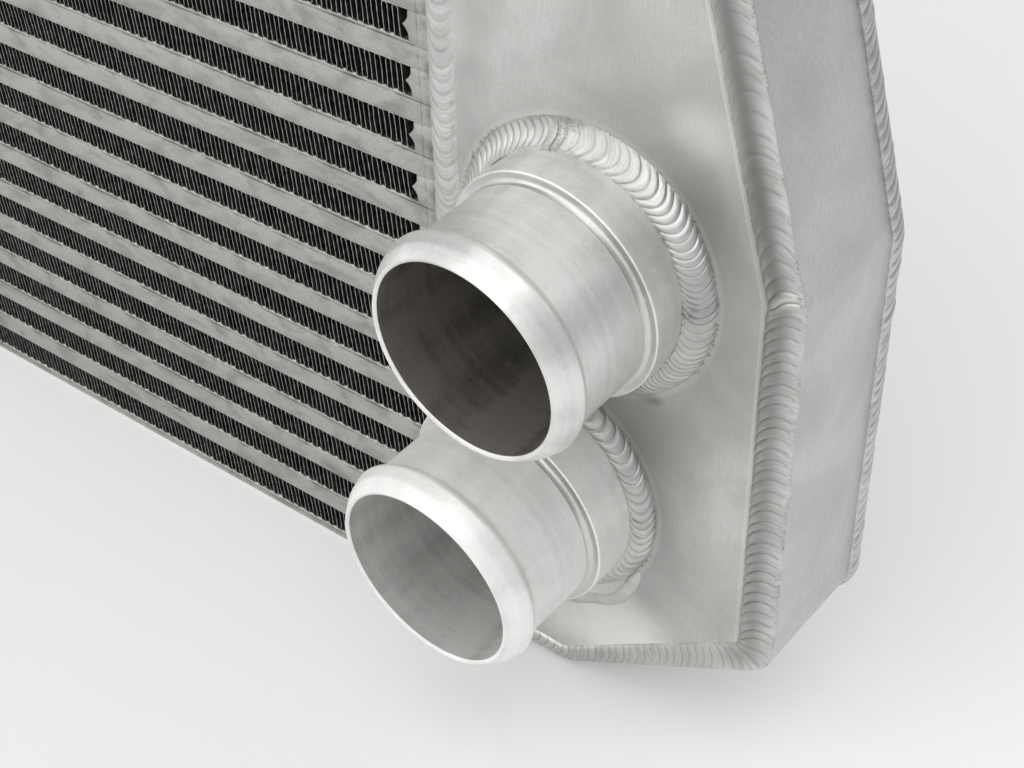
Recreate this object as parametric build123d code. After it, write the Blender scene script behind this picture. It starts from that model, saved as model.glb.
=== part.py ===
# Bar-and-plate air-to-air intercooler, two-pass, with both hose stubs on one fabricated tank.
#
# Frame: X runs along the core, +X towards the stub tank. -Y is the front, where the stubs point.
# Z is up. The origin is the middle of the core's underside, on which the intercooler stands.
#
# The core is a brazed stack. Charge air runs along X inside flat tubes, each made of two long
# bars between two parting sheets. Cooling air runs along Y through folded fins between the tubes,
# and short nosed bars close those rows at both ends. The tanks are folded and TIG-welded sheet.

from build123d import *
from math import cos, radians, sin, tan
import os

# Core
core_length = 320.0
core_depth = 44.0
charge_rows = 16
charge_bar_height = 6.0
charge_bar_width = 6.0
parting_sheet = 0.5
charge_web = 0.4
charge_web_count = 7
side_plate = 2.5

# Cooling-air rows
ambient_fin_height = 8.25
ambient_fin_sheet = 0.3
ambient_folds = 22
fin_setback = 0.8
end_bar_width = 10.0
nose_reach = 1.8
nose_height = 4.6
fin_end_gap = 0.3

# Tanks
tank_sheet = 3.0
sheet_gap = 0.1
tank_step = 1.2
corner_angle = 30.4
bend_radius = 12.0
stub_tank_width = 103.0
stub_tank_flat = 38.0
widest_height = 153.6
taper_angle = 15.4
return_tank_width = 50.0
return_tank_flat = 15.0
divider_row_number = 8
divider_sheet = 3.0
divider_gap = 0.2

# Hose stubs, turned, each leaning a few degrees towards the core and down
stub_lean_in = 2.2
stub_lean_down = 4.3
stub_bore = 52.0
stub_pipe = 57.0
stub_collar = 62.3
collar_back = 32.7
collar_chamfer = 0.9
relief_width = 1.2
relief_depth = 0.6
hose_bead = 60.8
hose_bead_back = 4.6
hose_bead_length = 10.0
mouth_rim = 54.2
rim_chamfer = 0.4
lower_stub_offset = 29.8
lower_stub_height = 69.9
lower_stub_reach = 48.6
upper_stub_reach = 45.7
stub_row_angle = 9.9

# Weld beads
seam_width = 10.4
seam_crown = 1.4
seam_flat = 4.4
rear_seam_width = 5.0
rear_seam_flat = 2.0
core_weld_width = 7.8
core_weld_crown = 1.1
core_weld_flat = 3.6
stub_weld_leg = 6.4
stub_weld_rise = 5.0
stub_weld_land = 0.3
stub_weld_gap = 0.1
weld_clearance = 0.05

tube_height = charge_bar_height + 2 * parting_sheet
row_pitch = ambient_fin_height + tube_height
core_height = 2 * side_plate + charge_rows * row_pitch + ambient_fin_height
core_end = core_length / 2
front = -core_depth / 2
back = core_depth / 2
tank_bottom = tank_step
tank_top = core_height - tank_step
stub_spacing = stub_collar + 2 * stub_weld_leg + stub_weld_gap


def ambientRowFloor(row):
    # Underside of a cooling-air row; row 1 is the lowest.
    return side_plate + (row - 1) * row_pitch


def tubeFloor(row):
    # Underside of a charge-air tube; row 1 is the lowest.
    return ambientRowFloor(row) + ambient_fin_height


def slab(outline, near, far):
    # Solid between two depths from an outline drawn in X and Z.
    return extrude(Plane.XZ.offset(-far) * outline, far - near)


def endBarPair(floor):
    # Nosed bars that close one cooling-air row at both ends of the core.
    inner = core_end - end_bar_width
    middle = ambient_fin_height / 2
    profile = Polyline(
        (core_end, 0),
        (core_end, ambient_fin_height),
        (inner, ambient_fin_height),
        (inner, middle + nose_height / 2),
        (inner - nose_reach, middle),
        (inner, middle - nose_height / 2),
        (inner, 0),
        close=True,
    )
    bar = Pos(0, 0, floor) * slab(make_face(profile), front, back)
    return bar + mirror(bar, about=Plane.YZ)


def chargeTube(row):
    # Two long bars and two parting sheets, with the webs of the charge fin brazed between them.
    # The end bars of the cooling-air row above are brazed to its upper sheet.
    passage = core_depth - 2 * charge_bar_width
    cells = charge_web_count + 1
    cell = (passage - charge_web_count * charge_web) / cells
    section = Rectangle(core_depth, tube_height)
    for index in range(cells):
        offset = -passage / 2 + cell / 2 + index * (cell + charge_web)
        section -= Pos(offset, 0) * Rectangle(cell, charge_bar_height)
    tube = extrude(Plane.YZ * section, core_length / 2, both=True)
    tube = Pos(0, 0, tubeFloor(row) + tube_height / 2) * tube
    return tube + endBarPair(ambientRowFloor(row + 1))


def sidePlate(floor):
    return Pos(0, 0, floor + side_plate / 2) * Box(core_length, core_depth, side_plate)


def ambientFin(row):
    # One folded fin: a zigzag sheet whose crests meet the parting sheets above and below.
    fin_length = core_length - 2 * (end_bar_width + nose_reach + fin_end_gap)
    half_fold = fin_length / (2 * ambient_folds)
    slope = ambient_fin_height / half_fold
    upright = ambient_fin_sheet * (1 + slope**2) ** 0.5
    steps = range(2 * ambient_folds + 1)
    lower = [
        (-fin_length / 2 + step * half_fold, (ambient_fin_height - upright) * (step % 2))
        for step in steps
    ]
    upper = [(x, z + upright) for x, z in reversed(lower)]
    fold = make_face(Polyline(*lower, *upper, close=True))
    fin = slab(fold, front + fin_setback, back - fin_setback)
    return Pos(0, 0, ambientRowFloor(row)) * fin


def stubTankOutline():
    # The tank is widest beside the stubs and tapers above them; its far corners are cut off.
    rise = (stub_tank_width - stub_tank_flat) * tan(radians(corner_angle))
    outer = core_end + stub_tank_width
    flat_end = core_end + stub_tank_flat
    taper = tan(radians(taper_angle))
    cut = tan(radians(corner_angle))
    shoulder = (outer - taper * (tank_top - widest_height + cut * flat_end)) / (1 - taper * cut)
    corners = Polyline(
        (core_end, tank_bottom),
        (flat_end, tank_bottom),
        (outer, tank_bottom + rise),
        (outer, widest_height),
        (shoulder, tank_top - cut * (shoulder - flat_end)),
        (flat_end, tank_top),
        (core_end, tank_top),
        close=True,
    )
    return roundCorners(make_face(corners))


def returnTankOutline():
    outer = core_end + return_tank_width
    flat_end = core_end + return_tank_flat
    rise = (return_tank_width - return_tank_flat) * tan(radians(corner_angle))
    corners = Polyline(
        (core_end, tank_bottom),
        (flat_end, tank_bottom),
        (outer, tank_bottom + rise),
        (outer, tank_top - rise),
        (flat_end, tank_top),
        (core_end, tank_top),
        close=True,
    )
    return roundCorners(make_face(corners))


def roundCorners(face):
    bends = [v for v in face.vertices() if v.X > core_end + sheet_gap]
    return fillet(bends, bend_radius)


def inside(outline, inset):
    # The outline moved inwards, but still reaching the core.
    low = tank_bottom + inset
    high = tank_top - inset
    throat = Pos(core_end + inset, (low + high) / 2) * Rectangle(2 * inset, high - low)
    return offset(outline, -inset) + throat


def tankWrap(outline):
    # One strip folded round the tank; it stands on the back plate and surrounds the front plate.
    wrap_back = back - tank_sheet
    shell = slab(outline, front, wrap_back)
    hollow = slab(inside(outline, tank_sheet), front - tank_sheet, back)
    return shell - hollow


def tankFrontPlate(outline):
    return slab(inside(outline, tank_sheet + sheet_gap), front, front + tank_sheet)


def tankBackPlate(outline):
    return slab(outline, back - tank_sheet, back)


def beadSection(width, flat, crown):
    # Weld bead section: flat underneath, crowned above, drawn across its width.
    return make_face(
        Polyline(
            (-width / 2, 0),
            (width / 2, 0),
            (flat / 2, crown),
            (-flat / 2, crown),
            close=True,
        )
    )


def seamPath(outline, inset):
    # The welded edge of a tank: its outline without the side that meets the core.
    moved = offset(outline, -inset) if inset > 0 else outline
    nearest = core_end + inset + sheet_gap
    return Wire([edge for edge in moved.edges() if edge.center().X > nearest])


def frontSeam(outline):
    # Bead over the joint between the front plate and the wrap.
    path = Plane.XZ.offset(-front) * seamPath(outline, seam_width / 2)
    return sweepBead(path, beadSection(seam_width, seam_flat, seam_crown), (0, -1, 0))


def rearSeam(outline):
    # Bead round the outside of the tank, over the joint between the wrap and the back plate.
    path = Plane.XZ.offset(tank_sheet - back) * seamPath(outline, 0)
    return sweepBead(path, beadSection(rear_seam_width, rear_seam_flat, tank_step), None)


def sweepBead(path, section, crown_direction):
    along = path % 0
    outward = Vector(*crown_direction) if crown_direction else along.cross(Vector(0, 1, 0))
    middle_height = (tank_bottom + tank_top) / 2
    if not crown_direction and outward.Z * ((path @ 0).Z - middle_height) < 0:
        outward = -outward
    across = outward.cross(along)
    plane = Plane(origin=path @ 0, x_dir=across, z_dir=along)
    return sweep(plane * section, path=path)


def coreWeld(side):
    # Straight bead over the joint between the core and a tank, on the front or the back.
    section = beadSection(core_weld_width, core_weld_flat, core_weld_crown)
    plane = Plane(origin=(core_end, side * back, tank_bottom), x_dir=(side, 0, 0), z_dir=(0, 0, 1))
    return extrude(plane * section, tank_top - tank_bottom)


def divider():
    # Plate across the stub tank, against the end bar of one cooling-air row, between the passes.
    level = ambientRowFloor(divider_row_number) + ambient_fin_height / 2
    reach = stub_tank_width - tank_sheet - divider_gap
    depth = core_depth - 2 * tank_sheet - 2 * divider_gap
    return Pos(core_end + reach / 2, 0, level) * Box(reach, depth, divider_sheet)


def stubAxis(steps_up):
    # Plane on the tank's front face whose normal is the stub's axis, pointing out of the tank.
    # The stubs stand in a leaning row, so close that their fillet beads all but meet.
    lean = Vector(-tan(radians(stub_lean_in)), -1, -tan(radians(stub_lean_down)))
    offset_from_core = lower_stub_offset + steps_up * stub_spacing * sin(radians(stub_row_angle))
    height = lower_stub_height + steps_up * stub_spacing * cos(radians(stub_row_angle))
    return Plane(origin=(core_end + offset_from_core, front, height), z_dir=lean)


def stub(axis_plane, reach):
    # Turned stub: plain pipe with a swaged hose bead at the mouth and a collar at the tank.
    sunk = stub_collar * tan(radians(stub_lean_in + stub_lean_down))
    collar_end = reach - collar_back
    bead_start = reach - hose_bead_length
    profile = Polyline(
        (stub_bore / 2, -sunk),
        (stub_collar / 2, -sunk),
        (stub_collar / 2, collar_end - collar_chamfer),
        (stub_collar / 2 - collar_chamfer, collar_end),
        (stub_pipe / 2 - relief_depth, collar_end),
        (stub_pipe / 2 - relief_depth, collar_end + relief_width),
        (stub_pipe / 2, collar_end + relief_width),
        (stub_pipe / 2, bead_start),
        (hose_bead / 2, reach - hose_bead_back),
        (mouth_rim / 2, reach),
        (stub_bore / 2 + rim_chamfer, reach),
        (stub_bore / 2, reach - rim_chamfer),
        close=True,
    )
    turned = revolve(Plane.XZ * make_face(profile), Axis.Z)
    return axis_plane * turned - tankSide()


def tankSide():
    # Everything behind the front face of the tanks.
    far = core_length + stub_tank_width
    return Pos(0, front + far / 2, core_height / 2) * Box(2 * far, far, far)


def boreCut(axis_plane):
    # The opening in the front plate behind a stub, long enough to pass right through it.
    return axis_plane * Cylinder(stub_bore / 2, stub_bore)


def stubFoot(axis_plane):
    # The room that a stub's collar and its fillet bead take on the front face.
    face_plane = Plane(origin=axis_plane.origin, z_dir=(0, -1, 0))
    toe = face_plane * Circle(stub_collar / 2 + stub_weld_leg)
    top = axis_plane.offset(stub_weld_rise) * Circle(stub_collar / 2 + stub_weld_land)
    return loft([toe, top], ruled=True)


def stubWeld(axis_plane):
    # Fillet bead between the front plate and the collar.
    collar = axis_plane * Cylinder(stub_collar / 2 + weld_clearance, stub_collar)
    return stubFoot(axis_plane) - collar


def writeNode(name, shape):
    shape.label = name
    export_step(shape, f"parts/{name}.step")


def main():
    os.makedirs("parts", exist_ok=True)
    writeNode("bottom_side_plate", sidePlate(0) + endBarPair(ambientRowFloor(1)))
    writeNode("top_side_plate", sidePlate(core_height - side_plate))
    for row in range(1, charge_rows + 1):
        writeNode(f"charge_tube_{row:02d}", chargeTube(row))
    for row in range(1, charge_rows + 2):
        writeNode(f"cooling_fin_{row:02d}", ambientFin(row))

    lower = stubAxis(0)
    upper = stubAxis(1)
    outline = stubTankOutline()
    writeNode("stub_tank_front_plate", tankFrontPlate(outline) - boreCut(upper) - boreCut(lower))
    writeNode("stub_tank_back_plate", tankBackPlate(outline))
    writeNode("stub_tank_wrap", tankWrap(outline))
    writeNode("stub_tank_front_seam", frontSeam(outline))
    writeNode("stub_tank_rear_seam", rearSeam(outline))
    # The lower stub stands close enough to the core to interrupt the core's own bead.
    core_weld = coreWeld(-1) - stubFoot(upper) - stubFoot(lower)
    writeNode("stub_tank_front_core_weld", core_weld)
    writeNode("stub_tank_back_core_weld", coreWeld(1))
    writeNode("pass_divider", divider())
    writeNode("upper_stub", stub(upper, upper_stub_reach))
    writeNode("lower_stub", stub(lower, lower_stub_reach))
    writeNode("upper_stub_weld", stubWeld(upper))
    writeNode("lower_stub_weld", stubWeld(lower))

    far_end = returnTankOutline()
    writeNode("return_tank_front_plate", mirror(tankFrontPlate(far_end), about=Plane.YZ))
    writeNode("return_tank_back_plate", mirror(tankBackPlate(far_end), about=Plane.YZ))
    writeNode("return_tank_wrap", mirror(tankWrap(far_end), about=Plane.YZ))
    writeNode("return_tank_front_seam", mirror(frontSeam(far_end), about=Plane.YZ))
    writeNode("return_tank_rear_seam", mirror(rearSeam(far_end), about=Plane.YZ))
    writeNode("return_tank_front_core_weld", mirror(coreWeld(-1), about=Plane.YZ))
    writeNode("return_tank_back_core_weld", mirror(coreWeld(1), about=Plane.YZ))


main()
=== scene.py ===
import bmesh
import bpy
import numpy as np
from functools import partial
from mathutils import Matrix, Vector


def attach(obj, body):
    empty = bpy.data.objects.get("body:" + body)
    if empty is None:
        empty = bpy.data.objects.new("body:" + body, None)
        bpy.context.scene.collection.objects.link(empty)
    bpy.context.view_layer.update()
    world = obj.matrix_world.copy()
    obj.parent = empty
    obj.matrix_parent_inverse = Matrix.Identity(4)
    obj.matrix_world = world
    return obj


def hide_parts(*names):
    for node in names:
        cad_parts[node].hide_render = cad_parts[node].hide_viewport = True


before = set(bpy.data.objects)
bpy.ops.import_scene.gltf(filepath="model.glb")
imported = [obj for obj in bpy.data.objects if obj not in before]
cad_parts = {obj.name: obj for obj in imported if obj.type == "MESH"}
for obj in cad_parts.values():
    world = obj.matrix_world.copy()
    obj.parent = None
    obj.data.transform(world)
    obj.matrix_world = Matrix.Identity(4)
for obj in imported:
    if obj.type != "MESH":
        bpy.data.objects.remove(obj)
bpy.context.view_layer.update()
print("frame loaded:", len(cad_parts), "nodes")

# Shapes are in millimetres, and become metres where a mesh is made.
millimetre = 0.001
arcMiddle = 0.3  # how far a quarter circle's middle lies from both its tangents, by its radius
core = {
    "end": 160.0,  # half the core's length
    "front": -22.0,
    "back": 22.0,
    "rowPitch": 15.25,
    "sidePlate": 2.5,
    "finHeight": 8.25,
    "tubes": 16,
}


def rowFloor(row):
    # Height of the underside of a cooling-air row, the lowest being row 1
    return core["sidePlate"] + (row - 1) * core["rowPitch"]


def spots(x, y, z):
    # Points from their coordinates, each one number or an array
    return np.stack(np.broadcast_arrays(x, y, z), -1).astype(float)


def unit(v):
    # Each row of v divided by its own length
    return v / np.maximum(np.linalg.norm(v, axis=-1, keepdims=True), 1e-9)


def smoothStep(x):
    # 0 below 0, 1 above 1, and 3x² − 2x³ between
    x = np.clip(x, 0, 1)
    return x * x * (3 - 2 * x)


def softNoise(count, window, rng):
    # White noise averaged over a window of samples and scaled back to a spread of one half
    weights = np.hanning(window + 2)
    white = rng.normal(size=count + window + 1)
    noise = np.convolve(white, weights / weights.sum(), "same")[:count]
    return noise / max(noise.std(), 1e-9) * 0.5


def sweptShell(points, closed=False):
    # points[i, j] is point j of the closed section i. Quads join each section to the next, and an
    # open sweep gets a fan round the middle of each end section.
    count, around = points.shape[:2]
    i = np.arange(count if closed else count - 1)[:, None]
    j = np.arange(around)[None, :]
    here, there = i * around, (i + 1) % count * around
    nextJ = (j + 1) % around
    quads = np.stack([here + j, here + nextJ, there + nextJ, there + j], -1).reshape(-1, 4)
    vertices = points.reshape(-1, 3)
    if closed:
        return vertices, quads, np.zeros((0, 3), int)
    middles = np.stack([points[0].mean(0), points[-1].mean(0)])
    first, last = np.full(around, len(vertices)), (count - 1) * around
    start = np.stack([first, nextJ[0], j[0]], -1)
    end = np.stack([first + 1, last + j[0], last + nextJ[0]], -1)
    return np.vstack([vertices, middles]), quads, np.vstack([start, end])


def newObject(name, data):
    # An object of a mesh, lamp or camera, in the scene
    item = bpy.data.objects.new(name, data)
    bpy.context.scene.collection.objects.link(item)
    return item


def makePiece(name, shells, materials, nodes, sharpAngle, values=None):
    # One object from closed shells in millimetres. A shell is (vertices, quads, triangles) and may
    # carry the material number of each quad. values holds one number for each vertex, by name.
    vertices, quads, triangles, numbers, base = [], [], [], [], 0
    for shell in shells:
        v, q, t = shell[:3]
        vertices.append(v)
        quads.append(q + base)
        triangles.append(t + base)
        numbers.append(shell[3] if len(shell) > 3 else np.zeros(len(q), int))
        base += len(v)
    quads, triangles = np.vstack(quads), np.vstack(triangles)
    mesh = bpy.data.meshes.new(name)
    mesh.from_pydata(np.vstack(vertices) * millimetre, [], quads.tolist() + triangles.tolist())
    numbers = np.concatenate(numbers + [np.zeros(len(triangles), int)])
    mesh.polygons.foreach_set("material_index", numbers.astype(np.int32))
    for key, column in (values or {}).items():
        layer = mesh.attributes.new(key, "FLOAT", "POINT")
        layer.data.foreach_set("value", column.astype(np.float32))
    for material in materials:
        mesh.materials.append(material)
    turnOutwards(mesh)
    mesh.shade_smooth()
    mesh.set_sharp_from_angle(angle=np.radians(sharpAngle))
    piece = newObject(name, mesh)
    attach(piece, "root")
    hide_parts(*nodes)


def turnOutwards(mesh):
    # Normals recalculated, so that a mirrored shell isn't inside out
    shell = bmesh.new()
    shell.from_mesh(mesh)
    bmesh.ops.recalc_face_normals(shell, faces=shell.faces)
    shell.to_mesh(mesh)
    shell.free()


def roundedLine(corners, radii):
    # Points and left-hand normals of straight runs joined by tangent arcs, one point for every 3
    # degrees. An arc takes radius · tan(turn / 2) from each of its two runs.
    def left(direction):
        return np.array([-direction[1], direction[0]])

    corners = np.asarray(corners, float)
    directions = unit(np.diff(corners, axis=0))
    points, normals = [corners[0]], [left(directions[0])]
    for k in range(1, len(corners) - 1):
        before, after, radius = directions[k - 1], directions[k], radii[k]
        turn = np.arctan2(before[0] * after[1] - before[1] * after[0], before @ after)
        cut = radius * abs(np.tan(turn / 2))
        centre = corners[k] - before * cut + left(before) * radius * np.sign(turn)
        steps = max(2, int(abs(np.degrees(turn)) / 3) + 1)
        for a in np.linspace(0, turn, steps):
            spin = np.array([[np.cos(a), -np.sin(a)], [np.sin(a), np.cos(a)]])
            normal = spin @ left(before)
            points.append(centre - normal * radius * np.sign(turn))
            normals.append(normal)
    points.append(corners[-1])
    normals.append(left(directions[-1]))
    return np.array(points), np.array(normals)


def along(rail, position):
    # Every array of a rail read at these distances along it
    return {
        key: np.stack([np.interp(position, rail["s"], column) for column in rail[key].T], -1)
        for key in rail
        if key != "s"
    }


def distance(points):
    # How far each point lies from the first, along the line through them
    steps = np.linalg.norm(np.diff(points, axis=0), axis=1)
    return np.concatenate([[0], np.cumsum(steps)])


def measured(left, right, out):
    # A rail for a bead: its two edges, the way out of the sheet, and the distance along its middle
    out = np.broadcast_to(np.asarray(out, float), left.shape)
    return {"left": left, "right": right, "out": out, "s": distance((left + right) / 2)}


def linear(code):
    # sRGB hex to linear: c / 12.92 up to 0.04045, and ((c + 0.055) / 1.055) ^ 2.4 above it
    c = np.array([int(code[k : k + 2], 16) for k in (1, 3, 5)]) / 255
    c = np.where(c <= 0.04045, c / 12.92, ((c + 0.055) / 1.055) ** 2.4)
    return (*c, 1.0)


def fillInputs(node, inputs):
    # An input is linked to another node's output, or holds a value
    for key, value in inputs.items():
        if isinstance(value, bpy.types.NodeSocket):
            node.id_data.links.new(value, node.inputs[key])
        else:
            node.inputs[key].default_value = value


def addNode(material, kind, inputs, settings=None, output=0):
    # One node with its settings and links; it gives back one of its outputs
    node = material.node_tree.nodes.new("ShaderNode" + kind)
    for key, value in (settings or {}).items():
        setattr(node, key, value)
    fillInputs(node, inputs)
    return node.outputs[output]


def fromTo(start, end, first=0.0, last=1.0):
    # Limits of a pattern, and of what is made of it
    return {"From Min": start, "From Max": end, "To Min": first, "To Max": last}


def overlay(add, tone, share, colour, span=None, amount=(0.0, 1.0), settings=None):
    # A colour laid over a tone. With a span, the share is a raw pattern, and goes from the first
    # amount to the second as the pattern crosses the span.
    if span is not None:
        share = add("MapRange", {"Value": share, **fromTo(*span, *amount)}, settings)
    return add("Mix", {"Factor": share, 6: tone, 7: linear(colour)}, {"data_type": "RGBA"}, 2)


# Settings of the Math nodes
multiply, multiplyAdd, subtract, maximum, compare = (
    {"operation": word} for word in ("MULTIPLY", "MULTIPLY_ADD", "SUBTRACT", "MAXIMUM", "COMPARE")
)


def per(*sizes):
    # Grain sizes in millimetres as the scale of a mapping in metres
    return [1000 / size for size in sizes]


def newMetal(name, colour, metallic=1.0):
    # A metal, which keeps the default IOR, with what adds a node to it and its object coordinates
    material = bpy.data.materials.new(name)
    material.use_nodes = True
    shader = material.node_tree.nodes["Principled BSDF"]
    fillInputs(shader, {"Base Color": linear(colour), "Metallic": metallic})
    add = partial(addNode, material)
    return material, add, add("TexCoord", {}, output="Object")


def finished(metal, tone, pattern, roughness, bumps=()):
    # The metal with its tone, its roughness between limits as a pattern goes, and its bumps, each
    # a height with its settings, laid over the one before
    add, relief = partial(addNode, metal), {}
    for height, settings in bumps:
        relief = {"Normal": add("Bump", {"Height": height, **settings, **relief})}
    rough = add("MapRange", {"Value": pattern, **roughness})
    shader = metal.node_tree.nodes["Principled BSDF"]
    fillInputs(shader, {"Base Color": tone, "Roughness": rough, **relief})
    return metal


# In the looks, a noise's scale is per metre, with its grain beside it, and depths and places
# are in metres.
sheetLook = {
    "colour": "#C4C4C2",
    "pale": "#D2D2D0",
    "dull": "#AAAAA8",
    "heatTintAndShade": "#8E8E8C",  # grey heat tint beside a weld, with painted shade: the stub's dark reflection
    "frost": "#DEDEDC",  # the narrow band that the arc has cleaned
    "soot": "#4A4845",
    "scratch": {"Scale": per(0.5, 0.5, 9.0), "Rotation": (0, 0.35, 0)},
    "grain": {"Scale": 1100.0, "Detail": 3.0},  # 0.9 mm
    "clouds": {"Scale": 34.0, "Detail": 3.0, "Distortion": 0.6},  # 30 mm
    "warp": {"Scale": 21.0, "Detail": 1.0},  # 48 mm
    "scratchBump": {"Distance": 0.000012, "Strength": 0.5},
    "warpBump": {"Distance": 0.0012, "Strength": 0.5},
    "roughness": fromTo(0.3, 0.7, 0.36, 0.5),
    # Rings (x, z, toe) of the two round welds, and how far out from the toe each mark reaches
    "rings": [(0.20273, 0.14398, 0.0374), (0.1898, 0.0699, 0.0362)],
    "shadeHaloReach": (0.001, 0.021),
    "frostReach": (0.0008, 0.0022),
    "sootReach": (0.0002, 0.0012),
    # Lines a x + b z = c inside the seam, and half their width
    "lines": [(1.0, 0.0, 0.2517), (0.964, 0.265, 0.2829)],
    "lineHalf": 0.0003,
    # Patches: x, z, half width, half height, strength and colour
    "patches": [
        # Painted reflection: this bright patch on the lower left stands for the bright floor
        # reflected there
        (0.213, 0.022, 0.034, 0.024, 0.85, "#F4F4F2"),
        (0.2324, 0.1886, 0.013, 0.01, 0.4, "#E6E6E4"),
        (0.2217, 0.1111, 0.0052, 0.0026, 0.8, "#4A4845"),
    ],
}


def brushedSheet(name, cloudiness, welded=False):
    # 5052 aluminium sheet, mill finish, scratch-brushed before it was folded and welded: a satin
    # pale grey with fine short scratches and slow cloudy changes of sheen
    look = sheetLook
    metal, add, place = newMetal(name, look["colour"])
    across = add("Mapping", {"Vector": place, **look["scratch"]})
    scratches = add("TexNoise", {"Vector": across, "Scale": 1.0, "Detail": 4.0})
    fine, clouds, warp = (
        add("TexNoise", {"Vector": place, **look[key]}) for key in ("grain", "clouds", "warp")
    )
    both = add("Math", {0: scratches, 1: fine}, {"operation": "ADD"})
    tone = overlay(add, linear(look["colour"]), both, look["pale"], (0.8, 1.2), (0.1, 0.8))
    tone = overlay(add, tone, clouds, look["dull"], (0.42, 0.68), (0.0, cloudiness))
    if welded:
        tone = weldMarksAndPaintedLight(add, place, tone, clouds, warp, fine)
    bumps = [(warp, look["warpBump"]), (both, look["scratchBump"])]
    return finished(metal, tone, clouds, look["roughness"], bumps)


def weldMarksAndPaintedLight(add, place, tone, clouds, warp, fine):
    # What the welding left, and painted light: a patch of painted reflection, a pale patch and a
    # sooted one, a pale line inside the seam and, at each round weld, a grey halo of heat tint and
    # painted shade, a frosty band and specks of soot
    look = sheetLook
    smooth = {"interpolation_type": "SMOOTHSTEP"}
    for x, z, wide, high, strength, colour in look["patches"]:
        centred = {"Location": (-x / wide, 0, -z / high), "Scale": (1 / wide, 0, 1 / high)}
        moved = add("Mapping", {"Vector": place, **centred})
        away = add("VectorMath", {0: moved}, {"operation": "LENGTH"}, 1)
        away = add("Math", {0: clouds, 1: 0.8, 2: away}, multiplyAdd)
        tone = overlay(add, tone, away, colour, (0.6, 1.5), (strength, 0.0), smooth)
    beyond = -1.0
    for a, b, c in look["lines"]:
        over = add("VectorMath", {0: place, 1: (a, 0, b)}, {"operation": "DOT_PRODUCT"}, 1)
        over = add("Math", {0: over, 1: c}, subtract)
        beyond = add("Math", {0: over, 1: beyond}, maximum)
    line = add("Math", {0: beyond, 1: 0.0, 2: look["lineHalf"]}, compare)
    line = add("Math", {0: line, 1: warp}, multiply)
    tone = overlay(add, tone, line, look["frost"])
    patchy = add("MapRange", {"Value": warp, **fromTo(0.35, 0.6, 0.35, 0.85)})
    specks = add("MapRange", {"Value": fine, **fromTo(0.52, 0.6, 0.0, 0.8)})
    spread = add("MapRange", {"Value": clouds, **fromTo(0.44, 0.58)})
    specks = add("Math", {0: spread, 1: specks}, multiply)
    reaches = [np.array(look[key]) for key in ("shadeHaloReach", "frostReach", "sootReach")]
    for x, z, toe in look["rings"]:
        moved = add("Mapping", {"Vector": place, "Location": (-x, 0, -z), "Scale": (1, 0, 1)})
        away = add("VectorMath", {0: moved}, {"operation": "LENGTH"}, 1)
        side = add("SeparateXYZ", {"Vector": moved})
        side = add("MapRange", {"Value": side, **fromTo(-0.01, 0.03, 0.25, 1.0)})
        shadeHaloSpan, frostSpan, sootSpan = (toe + reach for reach in reaches)
        # Painted shade with heat tint: a grey halo round the ring, stronger on its right side, for
        # the stub's dark reflection in the plate
        shadeHalo = add("MapRange", {"Value": away, **fromTo(*shadeHaloSpan, 1.0, 0.0)}, smooth)
        shadeHalo = add("Math", {0: shadeHalo, 1: side}, multiply)
        shadeHalo = add("Math", {0: shadeHalo, 1: patchy}, multiply)
        tone = overlay(add, tone, shadeHalo, look["heatTintAndShade"])
        tone = overlay(add, tone, away, look["frost"], frostSpan, (0.25, 0.0), smooth)
        soot = add("MapRange", {"Value": away, **fromTo(*sootSpan, 1.0, 0.0)})
        soot = add("Math", {0: soot, 1: specks}, multiply)
        tone = overlay(add, tone, soot, look["soot"])
    return tone


weldLook = {
    "pale": "#D6D6D4",
    "dull": "#BEBEBC",
    "line": "#A6A6A4",
    # painted shade in the grooves between the ripples
    "groove": "#7C7C7A",
    "shade": "#868684",
    "soot": "#3E3B37",
    "pores": {"Scale": 1900.0, "Detail": 3.0},  # 0.5 mm
    "patches": {"Scale": 150.0, "Detail": 2.0},  # 7 mm
    "lines": {"Scale": 4.5, "Detail": 2.0},  # per ripple
    "lineBump": {"Distance": 0.00005, "Strength": 0.8},
    "poreBump": {"Distance": 0.00003, "Strength": 0.6},
    "roughness": fromTo(0.3, 0.7, 0.34, 0.46),
}


def weldMetal():
    # 4043 filler laid by TIG and left as it froze: bright satin lobes, greyer in the grooves by
    # painted shade, with hair-fine freeze lines inside each lobe. The beads carry the painted
    # groove shade, soot, shade and phase.
    look = weldLook
    metal, add, place = newMetal("TIG weld bead", look["pale"])
    groove, soot, shade, phase = (
        add("Attribute", {}, {"attribute_name": key}, "Fac")
        for key in ("groove", "soot", "shade", "phase")
    )
    pores, patches = (
        add("TexNoise", {"Vector": place, **look[key]}) for key in ("pores", "patches")
    )
    wander = add("Math", {0: patches, 1: 1.2, 2: phase}, multiplyAdd)
    lines = add("TexNoise", {"W": wander, **look["lines"]}, {"noise_dimensions": "1D"})
    tone = overlay(add, linear(look["pale"]), patches, look["dull"], (0.35, 0.65), (0.0, 0.6))
    tone = overlay(add, tone, lines, look["line"], (0.35, 0.65), (0.0, 0.45))
    # Painted shade: the grooves between the ripples are darker
    tone = overlay(add, tone, groove, look["groove"], (0.4, 1.0), (0.0, 0.5))
    tone = overlay(add, tone, shade, look["shade"])
    pepper = add("MapRange", {"Value": pores, **fromTo(0.48, 0.6)})
    spread = add("MapRange", {"Value": patches, **fromTo(0.4, 0.6, 0.1)})
    pepper = add("Math", {0: pepper, 1: soot}, multiply)
    pepper = add("Math", {0: pepper, 1: spread}, multiply)
    tone = overlay(add, tone, pepper, look["soot"])
    bumps = [(lines, look["lineBump"]), (pores, look["poreBump"])]
    return finished(metal, tone, patches, look["roughness"], bumps)


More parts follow.
